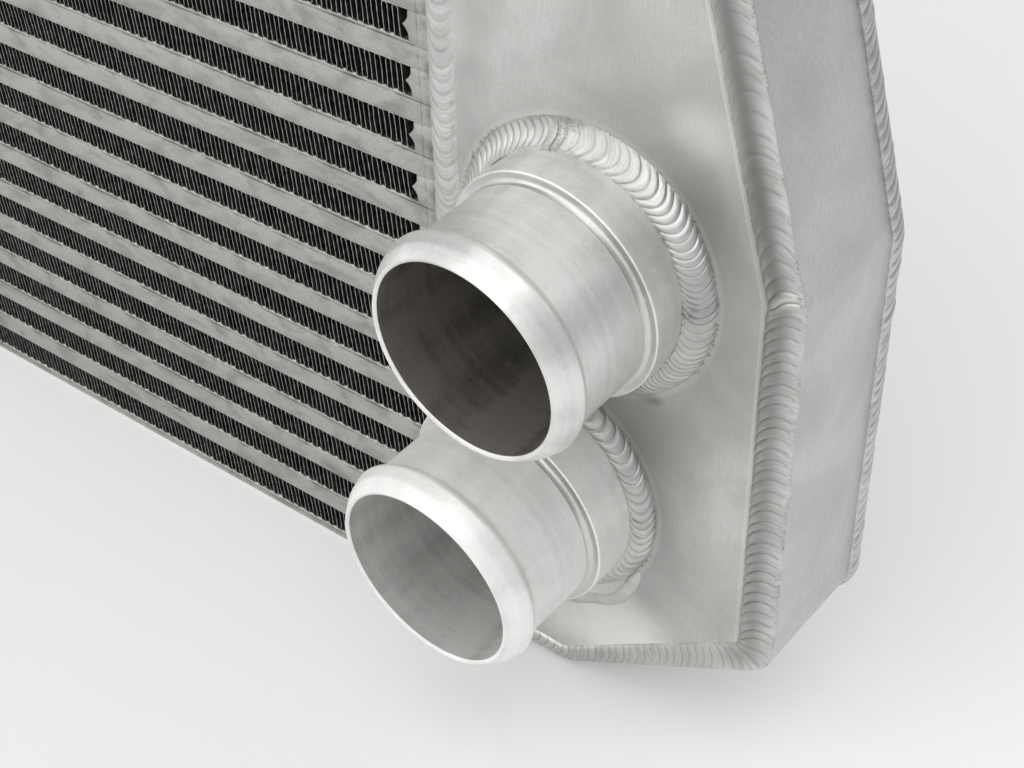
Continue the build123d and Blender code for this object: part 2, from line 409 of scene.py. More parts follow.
turnedLook = {
    "rings": {"Scale": 3.0, "Detail": 4.0},  # per millimetre along the pipe
    "bands": {"Scale": 0.28, "Detail": 2.0},
    "clouds": {"Scale": 48.0, "Detail": 3.0, "Distortion": 0.8},  # 21 mm
    "grain": {"Scale": 900.0, "Detail": 2.0},  # 1.1 mm
    "reflectionStreakSize": (13, 150, 13),  # millimetres; the pipe runs nearly along Y
    "reflectionStreaks": {"Scale": 1.0, "Detail": 2.0, "Distortion": 0.2},
    "ringBump": {"Distance": 0.00001, "Strength": 0.6},
    # Pale and dark colour, roughness, metallic and strength of the painted reflection streaks
    "metals": {
        "turned and blasted aluminium": ("#F0F0EE", "#C8C8C6", 0.4, 0.6, 1.2),
        # Painted light: the lower stub's metal is paler and more matt than the upper stub's,
        # standing in for more light on it
        "blasted aluminium": ("#FFFFFD", "#E0E0DE", 0.36, 0.25, 1.2),
        "turned shoulder": ("#DCDCDA", "#BABAB8", 0.34, 1.0, 0.8),
        # Painted shade: the upper bore's colours are darker than the lower bore's, for the shade
        # inside it
        "sooted bore": ("#948F89", "#484541", 0.5, 0.5, 1.6),
        "clean bore": ("#E6E6E4", "#B8B8B6", 0.5, 0.5, 1.6),
    },
}


def turnedMetal(name, pale, dark, roughness, metallic, reflectionStreaking):
    # 6061 aluminium, lathe-turned: bright, with fine rings left by the tool's feed, wider dull
    # bands, painted reflections as streaks along the pipe and soft clouds from handling. A blasted
    # skin, and the bores, scatter part of the light.
    look = turnedLook
    metal, add, place = newMetal(name, pale, metallic)
    height = add("Attribute", {}, {"attribute_name": "reach"}, "Fac")
    rings, bands = (
        add("TexNoise", {"W": height, **look[key]}, {"noise_dimensions": "1D"})
        for key in ("rings", "bands")
    )
    clouds, fine = (add("TexNoise", {"Vector": place, **look[key]}) for key in ("clouds", "grain"))
    drawn = add("Mapping", {"Vector": place, "Scale": per(*look["reflectionStreakSize"])})
    # Painted reflections: lighter and darker streaks along the pipe
    reflectionStreaks = add("TexNoise", {"Vector": drawn, **look["reflectionStreaks"]})
    reflectionStreaks = add("Math", {0: reflectionStreaks, 1: 0.5}, subtract)
    mixed = clouds
    for pattern, weight in ((bands, 0.5), (fine, 0.35), (reflectionStreaks, reflectionStreaking)):
        mixed = add("Math", {0: pattern, 1: weight, 2: mixed}, multiplyAdd)
    tone = overlay(add, linear(pale), mixed, dark, (0.75, 1.25), (0.0, 0.8))
    tone = overlay(add, tone, rings, dark, (0.35, 0.65), (0.0, 0.15))
    limits = fromTo(0.7, 1.25, roughness - 0.04, roughness + 0.08)
    return finished(metal, tone, mixed, limits, [(rings, look["ringBump"])])


barLook = {
    "pale": "#B6B6B3",
    "smudge": "#92928F",
    "speck": "#7A7976",
    "line": "#5E5D5A",
    "smudgeSize": (11, 11, 6),  # millimetres
    "smudges": {"Scale": 1.0, "Detail": 5.0, "Distortion": 0.7},
    "specks": {"Scale": 1400.0, "Detail": 3.0},  # 0.7 mm
    "speckBump": {"Distance": 0.00003, "Strength": 0.5},
    "roughness": fromTo(0.3, 0.7, 0.42, 0.58),
    "jointHeight": 0.01455,  # the sheet's joint, above the floor of each row
    "jointHalf": 0.00014,
    "scribe": 0.1529,  # the line scribed near each end
    "scribeHalf": 0.00018,
    "heatBand": (0.1540, 0.1553),  # grey band between that line and the tank's weld
}


def brazedBar(name, smudging):
    # 3003 aluminium bar and clad sheet after furnace brazing: dull satin with grey flux smudges, a
    # thin dark line of painted shade at the joint under each parting sheet and a line scribed near
    # each end
    look = barLook
    metal, add, place = newMetal(name, look["pale"])
    long = add("Mapping", {"Vector": place, "Scale": per(*look["smudgeSize"])})
    smudges = add("TexNoise", {"Vector": long, **look["smudges"]})
    specks = add("TexNoise", {"Vector": place, **look["specks"]})
    tone = linear(look["pale"])
    tone = overlay(add, tone, smudges, look["smudge"], (0.45, 0.72), (0.0, smudging))
    tone = overlay(add, tone, specks, look["speck"], (0.55, 0.75), (0.0, 0.5))
    height = add("SeparateXYZ", {"Vector": place}, output=2)
    above = add("Math", {0: height, 1: core["sidePlate"] * millimetre}, subtract)
    pitch = core["rowPitch"] * millimetre
    above = add("Math", {0: above, 1: pitch}, {"operation": "FLOORED_MODULO"})
    # Painted shade: a thin dark line where each parting sheet meets the bar below it, worn by the
    # smudges
    jointShade = add("Math", {0: above, 1: look["jointHeight"], 2: look["jointHalf"]}, compare)
    worn = add("MapRange", {"Value": smudges, **fromTo(0.35, 0.6, 0.15, 0.9)})
    jointShade = add("Math", {0: jointShade, 1: worn}, multiply)
    tone = overlay(add, tone, jointShade, look["line"])
    side = add("SeparateXYZ", {"Vector": place})
    side = add("Math", {0: side}, {"operation": "ABSOLUTE"})
    scribe = add("Math", {0: side, 1: look["scribe"], 2: look["scribeHalf"]}, compare)
    scribe = add("Math", {0: scribe, 1: 0.55}, multiply)
    heatTintAndShade = add("MapRange", {"Value": side, **fromTo(*look["heatBand"], 0.0, 0.45)})
    scribe = add("Math", {0: scribe, 1: heatTintAndShade}, maximum)
    scribe = add("Math", {0: scribe, 1: worn}, multiply)
    tone = overlay(add, tone, scribe, look["line"])
    return finished(metal, tone, smudges, look["roughness"], [(specks, look["speckBump"])])


foilLook = {
    # painted shade: the faces of the folds are dark for the shade between the close folds
    "fold": ("#62625F", "#80807D"),
    "edge": ("#8C8C89", "#BEBEBB"),
    "roughness": fromTo(0.3, 0.7, 0.4, 0.53),
    "dustSize": (1.6, 5.0, 1.8),  # millimetres
}


def finFoil(name, dark, pale):
    # 3003 aluminium foil 0.2 mm thick; the faces of its folds are painted dark for the shade
    # between the close folds, and its sheared edge is brighter
    look = foilLook
    metal, add, place = newMetal(name, pale)
    long = add("Mapping", {"Vector": place, "Scale": per(*look["dustSize"])})
    dust = add("TexNoise", {"Vector": long, "Scale": 1.0, "Detail": 3.0})
    tone = overlay(add, linear(dark), dust, pale, (0.35, 0.65))
    return finished(metal, tone, dust, look["roughness"])


sheetMetal = brushedSheet("brushed aluminium sheet", 0.3)
platedMetal = brushedSheet("brushed sheet by the stub welds", 0.6, True)
beadMetal = weldMetal()
stubMetal, paintedLightStubMetal, grooveMetal, upperBoreMetal, lowerBoreMetal = (
    turnedMetal(name, *look) for name, look in turnedLook["metals"].items()
)
barMetal = brazedBar("brazed aluminium bar", 0.8)
plateMetal = brazedBar("brazed side plate", 0.3)
paintedShadeFoilMetal = finFoil("cooling fin foil with painted shade", *foilLook["fold"])
edgeMetal = finFoil("cooling fin edge", *foilLook["edge"])
print("materials made")

bar = {
    "width": 6.0,
    "height": 6.0,
    "corner": 0.35,  # rounding of the drawn bars
    "sheet": 0.5,
    "sheetSetback": 0.12,  # parting sheets end a little behind the bars
    "sheetCorner": 0.1,
    "webs": 7,
    "web": 0.4,
    "webCorner": 0.02,
    "webGap": 0.5,  # from a web's end to the core's end
    "plateCorner": 0.25,  # of the side plates
    "endBarWidth": 10.0,
    "endBarCorner": 0.3,
    "endBarChamfer": 0.3,
    "noseReach": 1.8,
    "noseHeight": 4.6,
    "noseWaist": (0.45, 0.42),  # shares of its reach and half height where the nose is hollowed
}


def roundedBox(y0, y1, z0, z1, corner):
    # Section loop of a bar in Y and Z: four quarter circles, one at each corner
    a = np.linspace(0, np.pi / 2, 4)
    arcs = []
    for k, (y, z) in enumerate([(y1, z1), (y0, z1), (y0, z0), (y1, z0)]):
        turn = a + k * np.pi / 2
        inner = np.array([y, z]) - corner * np.array([[1, 1], [-1, 1], [-1, -1], [1, -1]])[k]
        arcs.append(inner + corner * np.stack([np.cos(turn), np.sin(turn)], -1))
    return np.vstack(arcs)


def longBar(y0, y1, z0, z1, corner, reach):
    # The section loop carried straight along X from −reach to +reach
    y, z = roundedBox(y0, y1, z0, z1, corner).T
    return sweptShell(np.stack([spots(-reach, y, z), spots(reach, y, z)]))


def endBar(floor, side):
    # Nosed bar at one end of a cooling-air row: its profile in X and Z is carried along Y, and
    # shrunk by the corner size at the front and back faces.
    end, high, chamfer = core["end"], core["finHeight"], bar["endBarChamfer"]
    inner = end - bar["endBarWidth"]
    middle, half = high / 2, bar["noseHeight"] / 2
    waist, rise = inner - bar["noseReach"] * bar["noseWaist"][0], half * bar["noseWaist"][1]
    nose = np.array(
        [
            (end, 0), (end, high), (inner + chamfer, high), (inner, high - chamfer),
            (inner, middle + half), (waist, middle + rise), (inner - bar["noseReach"], middle),
            (waist, middle - rise), (inner, middle - half), (inner, chamfer), (inner + chamfer, 0),
        ]
    )
    size = bar["endBarCorner"]
    edge = unit(np.roll(nose, -1, 0) - np.roll(nose, 1, 0))
    inward = np.stack([-edge[:, 1], edge[:, 0]], -1)
    front, back, near = core["front"], core["back"], size * arcMiddle
    sections = []
    for y, share in (
        (front, 1), (front + near, arcMiddle), (front + size, 0),
        (back - size, 0), (back - near, arcMiddle), (back, 1),
    ):
        shape = nose + inward * size * share
        sections.append(spots(side * np.minimum(shape[:, 0], end), y, shape[:, 1] + floor))
    return sweptShell(np.stack(sections))


def chargeTube(row):
    # Two long bars between two parting sheets, the webs of the charge fin, and the end bars above
    floor = rowFloor(row) + core["finHeight"]
    front, back, reach = core["front"], core["back"], core["end"]
    low, high = floor + bar["sheet"], floor + bar["sheet"] + bar["height"]
    shells = [
        longBar(front, front + bar["width"], low, high, bar["corner"], reach),
        longBar(back - bar["width"], back, low, high, bar["corner"], reach),
    ]
    near, far = front + bar["sheetSetback"], back - bar["sheetSetback"]
    for z in (floor, high):
        shells.append(longBar(near, far, z, z + bar["sheet"], bar["sheetCorner"], reach))
    gap = (back - front - 2 * bar["width"] - bar["webs"] * bar["web"]) / (bar["webs"] + 1)
    reach -= bar["webGap"]
    for k in range(bar["webs"]):
        y = front + bar["width"] + gap + k * (gap + bar["web"])
        shells.append(longBar(y, y + bar["web"], low, high, bar["webCorner"], reach))
    shells += [endBar(rowFloor(row + 1), 1), endBar(rowFloor(row + 1), -1)]
    name = f"charge_tube_{row:02d}"
    makePiece(name + "_brazed", shells, [barMetal], [name], 50)


for row in range(1, core["tubes"] + 1):
    chargeTube(row)
size = (core["front"], core["back"], 0, core["sidePlate"], bar["plateCorner"], core["end"])
shells = [longBar(*size), endBar(rowFloor(1), 1), endBar(rowFloor(1), -1)]
makePiece("bottom_plate_brazed", shells, [barMetal], ["bottom_side_plate"], 50)
print("bars and parting sheets made")

fin = {
    "legs": 174,  # 1.7 mm from leg to leg
    "foil": 0.2,
    "setback": 0.35,
    "endGap": 0.3,
    "crest": 0.8,  # height of the rounded fold
    "lean": 0.75,  # how far the legs lean, top to bottom
    "leanSpread": 0.3,
    "wobble": 0.12,
    "rim": 3.0,  # strip along each edge that was pushed about
    "nudge": 0.1,
}
braze = {
    "size": 0.3,  # of the fillet drawn up at each fold's foot
    "least": 0.08,
    "most": 0.7,
    "step": 0.42,
    "plain": 0.35,  # parts of the size: all along, by the noise and at the folds
    "uneven": 0.35,
    "atFolds": 1.1,
}


def coolingFin(row):
    # Folded foil: legs one pitch apart, joined by half-round folds at top and bottom in turn. Each
    # leg leans by its own amount, and the loop of foil at each profile point runs along Y.
    rng = np.random.default_rng(100 + row)
    reach = core["end"] - bar["endBarWidth"] - bar["noseReach"] - fin["endGap"]
    legs, high = fin["legs"], core["finHeight"]
    leg, pitch = np.arange(legs)[:, None], 2 * reach / legs
    share = np.array([0.0, 0.35, 0.72, 1.0])  # steps round a quarter fold
    foldX, foldZ = np.sin(share * np.pi / 2), 1 - np.cos(share * np.pi / 2)
    x = np.concatenate([foldX - 1, [0.0], 1 - foldX[::-1]]) * pitch / 2
    crest = foldZ * fin["crest"]
    z = np.concatenate([crest, [high / 2], high - crest[::-1]])
    x, z = x[:-1], z[:-1]  # the next leg starts with this leg's last point
    z = np.where(leg % 2 == 0, z, high - z)
    x = x + (-reach + pitch * (leg + 0.5))
    lean = fin["lean"] * (0.7 + 0.5 * rng.random())
    lean = lean + fin["leanSpread"] * softNoise(legs, 9, rng)
    wobble = fin["wobble"] * rng.normal(size=legs)
    shift = (0.5 - z / high) * lean[:, None] + np.sin(np.pi * z / high) * wobble[:, None]
    line = np.stack([(x + shift).ravel(), z.ravel()], -1)
    line = np.vstack([line, [reach, high if legs % 2 else 0.0]])
    line[:, 0] = np.clip(line[:, 0], -reach, reach)
    tangent = unit(np.gradient(line, axis=0))
    normal = np.stack([-tangent[:, 1], tangent[:, 0]], -1) * fin["foil"] / 2
    line[:, 1] = np.clip(line[:, 1], fin["foil"] / 2, high - fin["foil"] / 2)
    front, back = core["front"] + fin["setback"], core["back"] - fin["setback"]
    nudge = fin["nudge"] * softNoise(len(line), 5, rng)
    columns = []  # the foil's one face from front to back, then its other face from back to front
    near, far = front + fin["rim"], back - fin["rim"]
    stations = ((front, nudge), (near, 0.0), (far, 0.0), (back, nudge))
    for way in (1, -1):
        x, z = (line + way * normal).T
        columns += [spots(x + push, y, rowFloor(row) + z) for y, push in stations[::way]]
    v, q, t = sweptShell(np.stack(columns, 1))
    column = np.tile(np.arange(8), len(line) - 1)
    shells = [(v, q, t, np.where((column == 3) | (column == 7), 1, 0))]
    for edge, face in ((front, -1), (back, 1)):
        shells.append(brazeRun(rowFloor(row), edge, face, pitch, reach, lean[0], rng))
    name = f"cooling_fin_{row:02d}"
    makePiece(name + "_folded", shells, [paintedShadeFoilMetal, edgeMetal], [name], 50)


def brazeRun(floor, edge, face, pitch, reach, lean, rng):
    # Thin fillet along the feet of the folds: a small section swept along X, whose height varies
    # by a noise and grows at every second leg, where a fold touches down
    x = np.arange(-reach, reach, braze["step"])
    fold = np.abs(np.cos(np.pi * (x + reach - lean / 2) / (2 * pitch))) ** 8
    size = braze["plain"] + braze["uneven"] * np.abs(softNoise(len(x), 2, rng))
    size = size + braze["atFolds"] * fold * rng.uniform(0.5, 1.3, len(x))
    size = np.clip(braze["size"] * size, braze["least"], braze["most"])
    section = [(0.2, 0.0), (0.2 - size * 0.3, size * 0.6), (-0.15, size), (-0.7, 0.0)]
    points = np.stack([spots(x, edge + face * out, floor + rise) for out, rise in section], 1)
    v, q, t = sweptShell(points)
    return v, q, t, np.ones(len(q), int)


for row in range(1, core["tubes"] + 2):
    coolingFin(row)
print("cooling fins made")

tank = {
    "bottom": 1.2,
    "top": 256.05,
    "bend": 12.0,
    "sheet": 3.0,
    "edge": 0.35,  # rounding of the sheet's edges
    "stub_tank": [  # outline in X and Z, from the core round the tank
        (160, 1.2), (198, 1.2), (263, 39.33), (263, 153.6), (241.9, 230.3),
        (198, 256.05), (160, 256.05),
    ],
    "return_tank": [
        (160, 1.2), (175, 1.2), (210, 21.73), (210, 235.52), (175, 256.05), (160, 256.05),
    ],
}


def tankLine(corners, inset=0.0):
    # The outline from the core round the tank and back, moved inwards by the inset, and its
    # outward normals: going round anticlockwise, the left-hand ones point inwards
    points, inward = roundedLine(corners, [tank["bend"]] * len(corners))
    return points + inward * inset, -inward


def wrap(tankName, side):
    # Strip folded round the tank: the sheet's section carried along the outline
    points, outward = tankLine(tank[tankName])
    edge, sheet = tank["edge"], tank["sheet"]
    front, back, near = core["front"], core["back"] - sheet, edge * arcMiddle
    columns = []
    for y, inset in (  # depth along Y and inset from the outline
        (front, edge), (front + near, near), (front + edge, 0), (back - edge, 0),
        (back - near, near), (back, edge), (back, sheet), (front, sheet),
    ):
        x, z = (points - outward * inset).T
        columns.append(spots(side * x, y, z))
    name, shell = tankName + "_wrap", sweptShell(np.stack(columns, 1))
    makePiece(name + "_folded", [shell], [sheetMetal], [name], 30)


wrap("stub_tank", 1)
wrap("return_tank", -1)
print("tank wraps made")

# Defaults of every bead. A look's lists are read at the shares "at" of the bead's length.
ripple = {
    "at": [0, 1],
    "steps": np.array([0.0, 0.09, 0.22, 0.4, 0.6, 0.78, 0.92]),  # grid lines along one ripple
    "lobe": np.array([0.0, 0.42, 0.78, 0.97, 1.0, 0.84, 0.46]),  # its height at each of them
    "jitter": 0.12,
    "uneven": 0.25,
    "unevenBow": 0.12,
    "ragged": 0.03,
    "scallop": 0.04,
    "lobeWidth": 0.95,  # share of the width that the lobes cover
    "lobeFade": 0.2,  # and the part of it in which they run out
    "flatness": 2.4,  # power of the crown's curve
    "root": 0.35,  # how far the edges go down into the sheet
    "columns": 25,
    "taper": 0,  # length of the rounded ends
    "skew": 0,
    "rough": 0,
    "soot": 0,
    "toeSoot": 0,
    "grooveShadeStrength": 1.0,
    "shade": 0,
    "shadeMiddle": 0.0,
    "shadeWidth": 3.0,
}


def rippleEdges(length, at, pitch, jitter, rng):
    # The count of ripples up to s is the integral of 1 / pitch. The edges lie where it is a whole
    # number, each moved by a small random share.
    s = np.linspace(0, length, 4000)
    rate = 1 / np.interp(s, at, pitch)
    count = np.concatenate([[0], np.cumsum((rate[1:] + rate[:-1]) / 2 * np.diff(s))])
    whole = np.arange(1, int(count[-1]))
    inner = np.interp(whole + rng.uniform(-jitter, jitter, len(whole)), count, s)
    return np.concatenate([[0], inner, [length]])


def rippledBead(rail, look):
    # The bead's face at distance s and share t across it is left(s') (1 − t) / 2 +
    # right(s') (1 + t) / 2 + out(s') (crown (1 − |t| ^ flatness) + depth · lobe), where
    # s' = s + bow (1 − t²) + skew · t, so that each ripple's edge is a bent line of the grid.
    look = {**ripple, **look}
    rng = np.random.default_rng(look["seed"])
    length = rail["s"][-1]
    at = np.asarray(look["at"], float) * length

    def read(key, s):
        values = np.atleast_1d(np.asarray(look[key], float))
        return np.interp(s, at, values) if len(values) > 1 else np.full(np.shape(s), values[0])

    edges = rippleEdges(length, at, read("pitch", at), look["jitter"], rng)
    width = np.diff(edges)
    s = np.concatenate([(edges[:-1, None] + look["steps"] * width[:, None]).ravel(), [length]])
    phase = np.concatenate([(np.arange(len(width))[:, None] + look["steps"]).ravel(), [len(width)]])
    uneven = 1 + look["uneven"] * rng.normal(size=len(width))
    lobes = np.concatenate([(look["lobe"] * uneven[:, None]).ravel(), [0.0]])
    unevenBow = np.interp(s, edges, 1 + look["unevenBow"] * softNoise(len(edges), 3, rng))
    t = np.sin(np.linspace(-np.pi / 2, np.pi / 2, look["columns"]))
    bow = (read("bow", s) * unevenBow)[:, None] * (1 - t**2)
    place = np.clip(s[:, None] + bow + read("skew", s)[:, None] * t, 0, length)
    spot = along(rail, place)
    ends = np.ones_like(place)
    if look["taper"]:
        room = np.minimum(place, length - place) / look["taper"]
        ends = np.sqrt(np.clip(1 - (1 - np.clip(room, 0, 1)) ** 2, 0.01, 1))
    swell = 1 + look["scallop"] * (np.clip(lobes, 0, 1.3) - 0.6)[:, None] * np.ones(len(t))
    for side in (t < 0, t > 0):
        ragged = look["ragged"] * softNoise(len(edges), 3, rng)
        swell = swell + np.interp(s, edges, ragged)[:, None] * side
    middle = (spot["left"] + spot["right"]) / 2
    reach = (spot["right"] - spot["left"]) / 2
    rise = read("crown", s)[:, None] * (1 - np.abs(t) ** look["flatness"]) * ends
    fade = 1 - smoothStep((np.abs(t) - look["lobeWidth"]) / look["lobeFade"] + 1)
    rise = rise + read("depth", s)[:, None] * lobes[:, None] * fade * ends
    rough = read("rough", s)[:, None] * rng.normal(size=place.shape) * (1 - np.abs(t) ** 8)
    face = middle + reach * (t * swell * ends)[..., None] + spot["out"] * (rise + rough)[..., None]
    under = face[:, [-1, 0]] - spot["out"][:, [-1, 0]] * look["root"]
    shell = sweptShell(np.concatenate([face, under], 1))
    shaded = np.exp(-(((t - look["shadeMiddle"]) / look["shadeWidth"]) ** 2))
    toe = look["toeSoot"] * smoothStep((np.abs(t) - 0.8) / 0.2)
    values = {
        # painted shade in the grooves between the ripples, fading out at the edges
        "groove": look["grooveShadeStrength"] * (1 - np.clip(lobes, 0, 1)[:, None]) * fade,
        "soot": np.clip(read("soot", s)[:, None] + toe, 0, 1),
        "shade": read("shade", s)[:, None] * shaded,
        "phase": np.repeat(phase[:, None], len(t), 1),
    }
    for key, value in values.items():  # the underside's edges and the ends' middles carry zeros
        values[key] = np.pad(np.pad(value, [(0, 0), (0, 2)]).ravel(), (0, 2))
    return shell, values


def bead(name, rail, look):
    shell, values = rippledBead(rail, look)
    makePiece(name + "_rippled", [shell], [beadMetal], [name], 60, values)


frontSeam = {
    "width": [10.4],
    "pitch": 3.4,
    "depth": 0.22,
    "crown": 1.1,
    "bow": 3.0,
    "skew": 2.2,  # a symmetric arc as seen from the front right
    "toeSoot": 0.15,
    "seed": 13,
}
stubTankSeam = {
    **frontSeam,
    # From the core along the bottom, up the chamfer (0.1), the side (0.27), its bend (0.56) and top
    "at": [0, 0.24, 0.28, 0.572, 0.576, 0.58, 0.584, 0.6, 0.64, 0.77, 0.8, 1],
    "width": [5.4] * 2 + [10.4] * 10,
    "pitch": [2.8, 2.8, 3.5, 3.2, 3.0, 2.6, 3.2, 3.6, 4.6, 4.2, 3.2, 3.2],
    "depth": [0.16, 0.16, 0.3, 0.28, 0.5, 0.5, 0.26, 0.2, 0.1, 0.1, 0.2, 0.2],
    "crown": [0.8, 0.8, 1.1, 1.0, 1.15, 1.15, 0.8, 0.75, 0.7, 0.7, 0.9, 0.9],
    "bow": [2.0, 2.0, 3.0, 3.0, 2.4, 2.4, 3.2, 3.6, 3.8, 3.8, 2.6, 2.6],
    "skew": [-2.6, -2.0, 2.2, 2.4, 2.4, 2.0, 1.6, 1.2, 1.0, 1.0, -1.0, -2.0],
    "shade": [0.1, 0.2, 0.65, 0.8, 0.2, 0.2, 1.0, 0.9, 1.0, 1.0, 0.1, 0.1],
    "shadeMiddle": -0.2,  # the shade lies along the middle, nearer the inner edge
    "shadeWidth": 0.7,
    "rough": [0, 0, 0.01, 0.03, 0.01] + [0] * 7,
    "columns": 29,
    "toeSoot": 0.5,
    "seed": 11,
}
rearSeam = {
    "width": 5.0,
    "pitch": 3.3,
    "depth": 0.34,
    "crown": 0.75,
    "bow": -0.9,
    "skew": 3.0,  # the torch leaned, so the lobes slant like the strands of a rope
    "columns": 15,
    "toeSoot": 0.4,
}
coreWeld = {
    "width": 7.8,
    "pitch": 4.0,
    "depth": 0.22,
    "crown": 0.6,
    "bow": -2.9,
    "grooveShadeStrength": 0.8,
    "columns": 21,
    "lobeWidth": 0.86,
}


def frontRail(left, right, side):
    # A rail on the front face, from its edges in X and Z
    left, right = (spots(side * line[:, 0], core["front"], line[:, 1]) for line in (left, right))
    return measured(left, right, [0, -1, 0])


def seamRail(corners, side, look):
    # Front seam: its outer edge lies on the outline, its inner edge one bead's width inside
    outer, _ = tankLine(corners)
    long = distance(outer)
    width = np.interp(long / long[-1], look.get("at", [0]), look["width"])
    inner, _ = tankLine(corners, width[:, None])
    return frontRail(inner, outer, side)


def rearRail(corners, side, width):
    # Rear seam: it lies on the wrap's outer face, half its width each side of the back plate's edge
    points, outward = tankLine(corners)
    middle = core["back"] - tank["sheet"]
    left, right = (
        spots(side * points[:, 0], middle + shift, points[:, 1])
        for shift in (-width / 2, width / 2)
    )
    return measured(left, right, spots(side * outward[:, 0], 0, outward[:, 1]))


def coreWeldRail(side, face, width):
    # Straight up the joint of core and tank, on the front (−1) or the back (+1)
    z = np.linspace(tank["bottom"], tank["top"], 60)
    left, right = (
        spots(side * (core["end"] + shift), face * core["back"], z)
        for shift in (-width / 2, width / 2)
    )
    return measured(left, right, [0, face, 0])


sides = (("stub_tank", 1), ("return_tank", -1))
for number, (tankName, side) in enumerate(sides):
    look = (stubTankSeam, frontSeam)[number]
    bead(tankName + "_front_seam", seamRail(tank[tankName], side, look), look)
    look = {**rearSeam, "seed": 12 + 2 * number}
    bead(tankName + "_rear_seam", rearRail(tank[tankName], side, look["width"]), look)
for number, (tankName, side) in enumerate(sides):
    for face, word in ((-1, "front"), (1, "back")):
        look = {**coreWeld, "seed": 20 + 2 * number + face}
        bead(f"{tankName}_{word}_core_weld", coreWeldRail(side, face, look["width"]), look)
print("seams made")

stub = {
    "leanIn": 2.2,  # degrees
    "leanDown": 4.3,
    "bore": 26.0,
    "pipe": 28.5,
    "collar": 31.15,
    "collarBack": 32.7,
    "bevel": 0.35,
    "relief": 0.35,
    "reliefWidth": 1.9,
    "cove": 1.5,
    "shoulderRound": 29.4,  # radius where the bead's face grows flatter
    "beadFront": 3.4,
    "bead": 30.7,
    "beadBack": 7.4,
    "beadRound": 1.6,
    "beadLength": 9.7,
    "rim": 27.1,
    "mouth": (0.4, 0.5),  # width and depth of the eased inner edge
    "mouthRounds": (0.4, 0.25, 0.25),  # inner edge and the two edges of the rim
    "shoulderRounding": 4.0,
    "necking": 1.2,  # rounding where the bead runs out into the pipe
    "reliefSlope": 0.3,
    "fineRounds": (0.15, 0.3, 0.1),  # edges of the relief and of the collar's bevel
    "root": 12.0,  # how far the profile runs behind the tank's face before it slides to it
    "spacing": 1.5,  # most between two rings of points
    "boreSlack": 0.02,  # how near a point has to lie to count as the bore's or the relief's
    "reliefSlack": 0.05,
    "segments": 240,
    "lower": (189.8, 69.9, 48.6),  # X, Z and reach
    "upper": (202.73, 143.98, 45.7),
}
leanIn, leanDown = np.tan(np.radians([stub["leanIn"], stub["leanDown"]]))
axis = unit(np.array([-leanIn, -1.0, -leanDown]))
sideways = unit(np.cross([0.0, 0.0, 1.0], -axis))
upwards = np.cross(-axis, sideways)


def stubProfile(reach):
    # Radius and height of the turned profile, inside and outside, as runs joined by small arcs
    inner, rim, outer = stub["mouthRounds"]
    step, dip, edge = stub["fineRounds"]
    pipe, collar, bevel = stub["pipe"], stub["collar"], stub["bevel"]
    shoulder = reach - stub["collarBack"]
    relief = shoulder + stub["reliefWidth"]
    corners = [
        (stub["bore"], -stub["root"], 0), (stub["bore"], reach - stub["mouth"][1], inner),
        (stub["rim"] - stub["mouth"][0], reach, rim), (stub["rim"], reach, outer),
        (stub["shoulderRound"], reach - stub["beadFront"], stub["shoulderRounding"]),
        (stub["bead"], reach - stub["beadBack"], stub["beadRound"]),
        (pipe, reach - stub["beadLength"], stub["necking"]), (pipe, relief, step),
        (pipe - stub["relief"], relief - stub["reliefSlope"], dip),
        (pipe - stub["relief"], shoulder, stub["cove"]), (collar - bevel, shoulder, edge),
        (collar, shoulder - bevel, edge), (collar, -stub["root"], 0),
    ]
    line, _ = roundedLine([c[:2] for c in corners], [c[2] for c in corners])
    s = distance(line)
    extra = np.arange(0, s[-1], stub["spacing"])
    every = np.unique(np.round(np.concatenate([s, extra]), 4))
    every = every[np.concatenate([[True], np.diff(every) > 0.02])]
    return np.stack([np.interp(every, s, line[:, 0]), np.interp(every, s, line[:, 1])], -1)


def hoseStub(name, place, skin, boreMetal):
    # The profile turned about the leaning axis. A point behind the tank's front face slides along
    # the axis to that face, where axis height h = −(radial part of Y) / (axis part of Y).
    x, z, reach = place
    r, h = stubProfile(reach).T
    base = np.array([x, core["front"], z])
    a = np.arange(stub["segments"]) * 2 * np.pi / stub["segments"]
    radial = np.cos(a)[:, None] * sideways + np.sin(a)[:, None] * upwards
    atFace = -(r[None, :] * radial[:, 1:2]) / axis[1]
    height = np.maximum(h[None, :], atFace)
    points = base + radial[:, None, :] * r[None, :, None] + height[..., None] * axis
    v, q, t = sweptShell(points, closed=True)
    column = np.tile(np.arange(len(r)), stub["segments"])
    following = (column + 1) % len(r)
    inside = np.maximum(r[column], r[following]) < stub["bore"] + stub["boreSlack"]
    start = reach - stub["collarBack"] - stub["reliefSlack"]
    low, high = np.minimum(h[column], h[following]), np.maximum(h[column], h[following])
    step = (low > start) & (high < start + stub["reliefWidth"]) & ~inside
    number = np.where(inside, 1, np.where(step, 2, 0))
    metals, values = [skin, boreMetal, grooveMetal], {"reach": height.ravel()}
    makePiece(name + "_turned", [(v, q, t, number)], metals, [name], 28, values)


